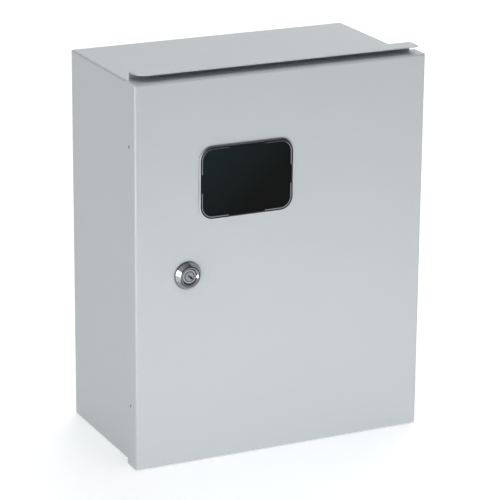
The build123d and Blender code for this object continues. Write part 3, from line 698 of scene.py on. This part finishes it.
# the flat rubber under the entry plate, which bulges a little where it is pressed, and the window's foam seal
entryRubber = {"band": 0.013, "corner": 0.006, "bulge": 0.0006}
windowFoam = {"band": 0.0016, "corner": 0.0136}
flatSeal = {"step": 0.006, "edgeShare": 0.4}        # edges are rounded by this share of the thickness


def bandLoop(shape, centre, upright, halfWidth, halfHeight, corner, outline):
    # sweeps an outline of (inwards, depth) round a rectangle; upright loops stand in X and Z
    rings = []
    for point, out in roundedLoop(halfWidth, halfHeight, corner, flatSeal["step"]):
        ring = []
        for inwards, depth in outline:
            spot = point - out * inwards
            at = (spot.x, depth, spot.y) if upright else (spot.x, spot.y, depth)
            ring.append(shape.verts.new(centre + Vector(at)))
        rings.append(ring)
    joinRings(shape, rings)


def makeFlatSeals():
    low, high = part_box("gland_gasket")
    centre = Vector(((low.x + high.x) / 2, (low.y + high.y) / 2, low.z))
    thick = high.z - low.z
    band, bulge = entryRubber["band"], entryRubber["bulge"]
    outline = softened([(bulge, 0.0), (0.0, thick / 2), (bulge, thick), (band, thick),
                        (band + bulge, thick / 2), (band, 0.0)], thick * flatSeal["edgeShare"])
    shape = bmesh.new()
    bandLoop(shape, centre, False, (high.x - low.x) / 2, (high.y - low.y) / 2, entryRubber["corner"], outline)
    newPiece("entryPlateRubber", "cabinet", rubber, "rubber", shape, "gland_gasket")

    low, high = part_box("window_seal")
    centre = Vector(((low.x + high.x) / 2, low.y, (low.z + high.z) / 2))
    thick = high.y - low.y
    band = windowFoam["band"]
    outline = softened([(0.0, 0.0), (0.0, thick), (band, thick), (band, 0.0)], thick * flatSeal["edgeShare"])
    shape = bmesh.new()
    bandLoop(shape, centre, True, (high.x - low.x) / 2, (high.z - low.z) / 2, windowFoam["corner"], outline)
    newPiece("windowFoamBand", "door", foam, "foam_gasket", shape, "window_seal")


# blind rubber grommets: a flange below the entry plate, a lip above it and a stepped membrane
grommet = {
    "pitch": 0.060,
    "neck": 0.01392,
    "flange": 0.0180,
    "flangeThickness": 0.0018,
    "lip": 0.0160,
    "lipThickness": 0.0020,
    "plate": 0.0015,        # of the sheet between flange and lip
    "wall": 0.0014,
    "steps": 3,
    "stepHeight": 0.0026,
    "tip": 0.0070,
    "slant": 0.0005,        # of the flange's rim and the lip's crown
    "round": 0.0005,
    "columns": 56,
}


def makeGrommets():
    low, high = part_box("cable_grommets")
    seat = low.z + grommet["flangeThickness"]
    wall, neck, slant = grommet["wall"], grommet["neck"], grommet["slant"]
    top = grommet["plate"] + grommet["lipThickness"]
    run = (neck - wall - grommet["tip"]) / grommet["steps"]
    stairs = []
    for step in range(grommet["steps"]):
        level = top + step * grommet["stepHeight"]
        stairs += [(neck - step * run, level), (neck - (step + 1) * run, level)]
    crown = top + grommet["steps"] * grommet["stepHeight"]
    stairs.append((grommet["tip"] + wall, crown))
    under = [(r - wall, z - wall) for r, z in stairs]
    outline = [(grommet["flange"], 0.0), (grommet["flange"] - slant, -grommet["flangeThickness"]),
               (neck - wall, -grommet["flangeThickness"]), *under, (0.0, crown - wall), (0.0, crown),
               *reversed(stairs), (grommet["lip"], top - slant), (grommet["lip"], grommet["plate"]),
               (neck, grommet["plate"]), (neck, 0.0)]
    soft = softened(outline, grommet["round"])
    # the two points on the axis stay where they are
    for index, (r, z) in enumerate(outline):
        if r == 0.0:
            for k in range(curvePoints):
                soft[curvePoints * index + k] = Vector((r, z))
    shape = bmesh.new()
    for step in (-1, 0, 1):
        place = Matrix.Translation((step * grommet["pitch"], (low.y + high.y) / 2, seat))
        lathe(shape, place, soft, grommet["columns"])
    bmesh.ops.dissolve_degenerate(shape, edges=shape.edges, dist=samePoint)
    newPiece("rubberGrommets", "cabinet", rubber, "rubber", shape, "cable_grommets")


# shallow dished marks where the visor's foot is spot-welded to the top wall
weldMark = {
    "count": 7,
    "endInset": 0.022,
    "fromRear": 0.0060,
    "footThickness": 0.0012,
    "columns": 28,
    "radius": 0.0028,
    "sunk": 0.0002,         # how far the mark reaches into the sheet
    "brim": 0.00001,
    "rim": 0.00012,
    "dish": ((0.80, 1.0), (0.58, 0.9), (0.35, 0.2), (0.0, 0.1)),    # shares of radius and rim
}


def makeWeldMarks():
    low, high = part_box("rain_visor")
    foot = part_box("body_shell")[1].z + weldMark["footThickness"]
    span = high.x - low.x - 2 * weldMark["endInset"]
    radius, rim = weldMark["radius"], weldMark["rim"]
    outline = [(0.0, -weldMark["sunk"]), (radius, -weldMark["sunk"]), (radius, weldMark["brim"]),
               *((radius * out, rim * up) for out, up in weldMark["dish"])]
    shape = bmesh.new()
    for step in range(weldMark["count"]):
        x = low.x + weldMark["endInset"] + span * step / (weldMark["count"] - 1)
        place = Matrix.Translation((x, high.y - weldMark["fromRear"], foot))
        lathe(shape, place, outline, weldMark["columns"])
    bmesh.ops.dissolve_degenerate(shape, edges=shape.edges, dist=samePoint)
    newPiece("visorWeldMarks", "cabinet", greyPaint, "grey_paint", shape)


makeStuds()
makeBarrelThread()
print("threads cut")
makeFoamBead()
makeFlatSeals()
makeGrommets()
print("seals and grommets made")
makeWeldMarks()
print("weld marks made")


# a pale lit table in a plain room that is darker towards one side
studio = {
    "tableSize": 16.0,
    "tableColour": (0.86, 0.865, 0.87),
    "tableCloud": 1.5,
    "tableGlow": 0.36,
    "tableRoughness": 0.8,
    "tableSpecular": 0.15,
    "roomColour": (0.99, 1.0, 0.998),
    "roomStrength": 0.56,
    "darkSide": (0.82, 0.20, 0.54),     # direction in which the room gets darker
    "darkFade": (-0.2, 0.8),            # where that starts and ends
    "darkShare": 0.30,
    "backdrop": 1.0,
}
# distant lights, which shine from a direction and are so many degrees wide
suns = {
    "rearLight": {"source": (0.50, 0.72, 0.62), "strength": 1.05, "width": 40.0,
                  "colour": (0.95, 0.97, 1.0), "inGloss": True},
    "ceilingLight": {"source": (0.12, -0.12, 0.98), "strength": 1.03, "width": 60.0,
                     "colour": (0.955, 0.97, 1.0), "inGloss": False},
}
# softboxes either light the paint or show in gloss
softboxes = {
    "lowStrip": {"place": (-0.10, -0.62, -0.170), "aim": (-0.10, -0.17, -0.13), "size": (0.9, 0.04),
                 "watts": 1.34, "colour": (0.97, 0.975, 1.0), "use": "paint"},
    "edgeStrip": {"place": (-0.475, -0.315, 0.0), "aim": (-0.155, -0.172, 0.0), "size": (0.10, 0.38),
                  "watts": 3.2, "colour": (1.0, 1.0, 1.0), "use": "gloss"},
    "leftCard": {"place": (-1.20, -0.30, 0.24), "aim": (0.0, -0.15, 0.02), "size": (0.50, 0.70),
                 "watts": 3.6, "colour": (1.0, 1.0, 1.0), "use": "gloss"},
}


def makeTable():
    bpy.ops.mesh.primitive_plane_add(size=studio["tableSize"], location=(0.0, 0.0, cadBounds[0].z))
    table = bpy.context.object
    table.name = "litTable"
    finish, tree, shader = newFinish("paleTable")
    cloud = grain(tree, objectPlace(tree), studio["tableCloud"], 2.0)
    pale = studio["tableColour"]
    tree.links.new(twoColours(tree, cloud, pale, tuple(c * 0.99 for c in pale)), shader.inputs["Base Color"])
    shader.inputs["Roughness"].default_value = studio["tableRoughness"]
    shader.inputs["Specular IOR Level"].default_value = studio["tableSpecular"]
    shader.inputs["Emission Color"].default_value = (1.0, 1.0, 1.0, 1.0)
    shader.inputs["Emission Strength"].default_value = studio["tableGlow"]
    table.data.materials.append(finish)


def makeRoom():
    # the wall seen behind the cabinet is as pale as the table
    world = bpy.data.worlds.new("studioRoom")
    world.use_nodes = True
    bpy.context.scene.world = world
    tree = world.node_tree
    room = tree.nodes["Background"]
    room.inputs["Color"].default_value = (*studio["roomColour"], 1.0)
    direction = addNode(tree, "TexCoord").outputs["Generated"]
    towards = onVectors(tree, "DOT_PRODUCT", direction, studio["darkSide"])
    full = studio["roomStrength"]
    tree.links.new(spread(tree, towards, full, full * studio["darkShare"], *studio["darkFade"]),
                   room.inputs["Strength"])
    wall = addNode(tree, "Background", {"Color": (1.0, 1.0, 1.0, 1.0), "Strength": studio["backdrop"]})
    seen = addNode(tree, "LightPath")
    both = addNode(tree, "MixShader")
    tree.links.new(seen.outputs["Is Camera Ray"], both.inputs["Fac"])
    tree.links.new(room.outputs["Background"], both.inputs[1])
    tree.links.new(wall.outputs["Background"], both.inputs[2])
    tree.links.new(both.outputs["Shader"], tree.nodes["World Output"].inputs["Surface"])


def pointAt(holder, place, aim):
    holder.location = place
    holder.rotation_euler = (Vector(aim) - Vector(place)).to_track_quat("-Z", "Y").to_euler()
    bpy.context.scene.collection.objects.link(holder)


def makeLights():
    for name, light in suns.items():
        sun = bpy.data.lights.new(name, "SUN")
        sun.energy = light["strength"]
        sun.angle = math.radians(light["width"])
        sun.color = light["colour"]
        holder = bpy.data.objects.new(name, sun)
        holder.visible_glossy = light["inGloss"]
        pointAt(holder, light["source"], (0.0, 0.0, 0.0))
    for name, light in softboxes.items():
        lamp = bpy.data.lights.new(name, "AREA")
        lamp.shape = "RECTANGLE"
        lamp.size, lamp.size_y = light["size"]
        lamp.energy = light["watts"]
        lamp.color = light["colour"]
        holder = bpy.data.objects.new(name, lamp)
        holder.visible_camera = False
        holder.visible_diffuse = light["use"] == "paint"
        holder.visible_glossy = light["use"] == "gloss"
        pointAt(holder, light["place"], light["aim"])


makeTable()
makeRoom()
makeLights()
print("table, room and lights placed")

# seen from the front left, a little above; angles in degrees
camera = {
    "place": (-1.0810, -2.3319, 0.7920),
    "turn": -25.836,
    "tilt": -17.841,
    "roll": 0.491,
    "lens": 187.55,
    "near": 0.05,
}


def makeCamera():
    data = bpy.data.cameras.new("camera")
    data.lens = camera["lens"]
    data.clip_start = camera["near"]
    view = bpy.data.objects.new("camera", data)
    bpy.context.scene.collection.objects.link(view)
    view.matrix_world = (Matrix.Translation(camera["place"])
                         @ Matrix.Rotation(math.radians(camera["turn"]), 4, "Z")
                         @ Matrix.Rotation(math.radians(90.0 + camera["tilt"]), 4, "X")
                         @ Matrix.Rotation(math.radians(camera["roll"]), 4, "Z"))
    bpy.context.scene.camera = view


makeCamera()
bpy.context.scene.view_settings.view_transform = "Standard"
print("camera placed")

bpy.context.view_layer.update()
